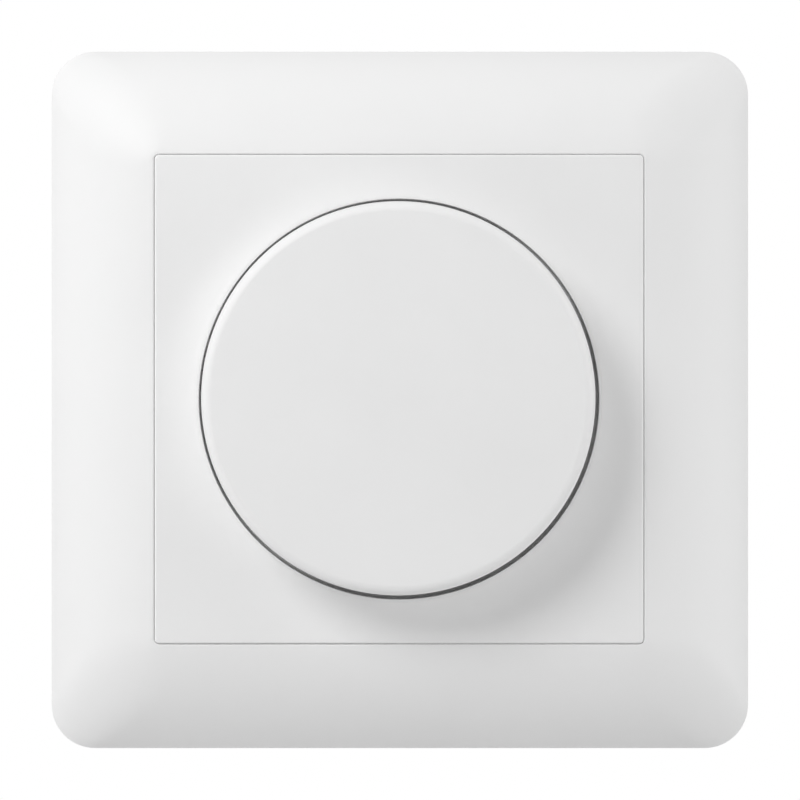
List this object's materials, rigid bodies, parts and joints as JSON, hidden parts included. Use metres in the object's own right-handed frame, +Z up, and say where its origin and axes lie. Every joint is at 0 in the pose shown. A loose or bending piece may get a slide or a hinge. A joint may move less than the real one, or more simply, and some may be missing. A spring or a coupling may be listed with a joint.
{
  "type": "rotary dimmer switch",
  "caption": "Flush-mounted rotary dimmer: square cover frame, centre plate with a low collar, large push-and-turn knob, and a clawed insert for a round wall box.",
  "frame": {"origin": "centre of the flush box's mouth, on the wall's surface", "axes": "+Y into the wall, +Z up, +X to the right as seen from the room; the knob faces -Y"},
  "size_m": [0.08, 0.0425, 0.08],
  "materials": {
    "white_plastic": "moulded white thermoplastic, satin gloss",
    "trimmer_plastic": "white moulded plastic",
    "dark_plastic": "fine spark-eroded texture, dark grey",
    "black_plastic": "black moulded plastic",
    "grey_plastic": "mid-grey moulded plastic",
    "spindle_plastic": "light grey moulded plastic",
    "zinc_steel": "bright zinc plating",
    "spring_steel": "plain spring steel",
    "brass": "stamped brass",
    "copper_wire": "enamelled copper wire",
    "aluminium": "plain aluminium",
    "board_laminate": "green solder resist on glass-epoxy board",
    "track_laminate": "phenolic paper board with a carbon track",
    "black_epoxy": "moulded epoxy package",
    "red_epoxy": "red coated film capacitor",
    "blue_epoxy": "blue coated component",
    "ferrite": "sintered ferrite",
    "fuse_glass": "glass tube with nickel-plated caps"
  },
  "bodies": {
    "root": {"centre_plate": "white_plastic", "choke_core": "ferrite", "choke_winding": "copper_wire", "circuit_board": "board_laminate", "controller_chip": "black_epoxy", "cover_frame": "white_plastic", "film_capacitor": "red_epoxy", "fixing_nut": "zinc_steel", "fuse": "fuse_glass", "fuse_clip_1": "brass", "fuse_clip_2": "brass", "heat_sink": "aluminium", "insert_cover": "dark_plastic", "insert_housing": "dark_plastic", "mosfet_1": "black_epoxy", "mosfet_2": "black_epoxy", "pot_bush": "brass", "pot_case": "black_plastic", "resistor_track": "track_laminate", "ring_screw_1": "zinc_steel", "ring_screw_2": "zinc_steel", "ring_screw_3": "zinc_steel", "ring_screw_4": "zinc_steel", "storage_capacitor": "black_plastic", "support_ring": "zinc_steel", "switch_body": "black_plastic", "switch_spring": "spring_steel", "terminal_bar_1": "brass", "terminal_bar_2": "brass", "terminal_bar_3": "brass", "terminal_block": "grey_plastic", "trimmer_base": "blue_epoxy", "varistor": "blue_epoxy"},
    "rotor": {"wiper_carrier": "grey_plastic", "wiper_contact": "brass"},
    "shaft": {"spindle": "spindle_plastic", "rotary_knob": "white_plastic", "hub_spring_ring": "spring_steel"},
    "plunger": {"switch_plunger": "grey_plastic", "switch_contact": "brass"},
    "trimmer": {"trimmer_wheel": "trimmer_plastic"},
    "claw_screw_right": {"claw_screw_right": "zinc_steel"},
    "claw_nut_right": {"claw_nut_right": "zinc_steel"},
    "claw_right": {"claw_right": "zinc_steel"},
    "claw_screw_left": {"claw_screw_left": "zinc_steel"},
    "claw_nut_left": {"claw_nut_left": "zinc_steel"},
    "claw_left": {"claw_left": "zinc_steel"},
    "terminal_screw_1": {"terminal_screw_1": "zinc_steel"},
    "terminal_clamp_1": {"terminal_clamp_1": "brass"},
    "terminal_screw_2": {"terminal_screw_2": "zinc_steel"},
    "terminal_clamp_2": {"terminal_clamp_2": "brass"},
    "terminal_screw_3": {"terminal_screw_3": "zinc_steel"},
    "terminal_clamp_3": {"terminal_clamp_3": "brass"}
  },
  "joints": [
    {"name": "knob_turn", "type": "hinge", "parent": "root", "child": "rotor", "pos_m": [0, 0, 0], "axis": [0, 1, 0], "range_deg": [0, 300]},
    {"name": "knob_push", "type": "slide", "parent": "rotor", "child": "shaft", "axis": [0, 1, 0], "range_m": [0, 0.0015], "stiffness_N_per_m": 1000, "springref_m": -0.002},
    {"name": "switch_push", "type": "slide", "parent": "root", "child": "plunger", "axis": [0, 1, 0], "range_m": [0, 0.0015], "deforming": ["switch_spring"]},
    {"name": "trimmer_turn", "type": "hinge", "parent": "root", "child": "trimmer", "pos_m": [-0.013, 0, 0.01], "axis": [0, 1, 0], "range_deg": [0, 270]},
    {"name": "claw_screw_right_turn", "type": "hinge", "parent": "root", "child": "claw_screw_right", "pos_m": [0.0242, 0, -0.006], "axis": [0, 1, 0], "range_deg": [0, 5760]},
    {"name": "claw_nut_right_rise", "type": "slide", "parent": "root", "child": "claw_nut_right", "axis": [0, -1, 0], "range_m": [0, 0.008]},
    {"name": "claw_right_swing", "type": "hinge", "parent": "root", "child": "claw_right", "pos_m": [0.0229, -0.0006, -0.006], "axis": [0, 0, -1], "range_deg": [0, 16]},
    {"name": "claw_screw_left_turn", "type": "hinge", "parent": "root", "child": "claw_screw_left", "pos_m": [-0.0242, 0, 0.006], "axis": [0, 1, 0], "range_deg": [0, 5760]},
    {"name": "claw_nut_left_rise", "type": "slide", "parent": "root", "child": "claw_nut_left", "axis": [0, -1, 0], "range_m": [0, 0.008]},
    {"name": "claw_left_swing", "type": "hinge", "parent": "root", "child": "claw_left", "pos_m": [-0.0229, -0.0006, 0.006], "axis": [0, 0, 1], "range_deg": [0, 16]},
    {"name": "terminal_screw_1_turn", "type": "hinge", "parent": "root", "child": "terminal_screw_1", "pos_m": [-0.01, 0, -0.0136], "axis": [0, -1, 0], "range_deg": [0, 1728]},
    {"name": "terminal_clamp_1_rise", "type": "slide", "parent": "root", "child": "terminal_clamp_1", "axis": [0, 1, 0], "range_m": [0, 0.0024]},
    {"name": "terminal_screw_2_turn", "type": "hinge", "parent": "root", "child": "terminal_screw_2", "pos_m": [0, 0, -0.0136], "axis": [0, -1, 0], "range_deg": [0, 1728]},
    {"name": "terminal_clamp_2_rise", "type": "slide", "parent": "root", "child": "terminal_clamp_2", "axis": [0, 1, 0], "range_m": [0, 0.0024]},
    {"name": "terminal_screw_3_turn", "type": "hinge", "parent": "root", "child": "terminal_screw_3", "pos_m": [0.01, 0, -0.0136], "axis": [0, -1, 0], "range_deg": [0, 1728]},
    {"name": "terminal_clamp_3_rise", "type": "slide", "parent": "root", "child": "terminal_clamp_3", "axis": [0, 1, 0], "range_m": [0, 0.0024]}
  ],
  "couplings": [
    {"joint": "switch_push", "follows": "knob_push", "ratio": 1},
    {"joint": "claw_screw_right_turn", "follows": "claw_nut_right_rise", "rad_per_m": 12566},
    {"joint": "claw_right_swing", "follows": "claw_nut_right_rise", "rad_per_m": 34.907},
    {"joint": "claw_screw_left_turn", "follows": "claw_nut_left_rise", "rad_per_m": 12566},
    {"joint": "claw_left_swing", "follows": "claw_nut_left_rise", "rad_per_m": 34.907},
    {"joint": "terminal_screw_1_turn", "follows": "terminal_clamp_1_rise", "rad_per_m": 12566},
    {"joint": "terminal_screw_2_turn", "follows": "terminal_clamp_2_rise", "rad_per_m": 12566},
    {"joint": "terminal_screw_3_turn", "follows": "terminal_clamp_3_rise", "rad_per_m": 12566}
  ]
}
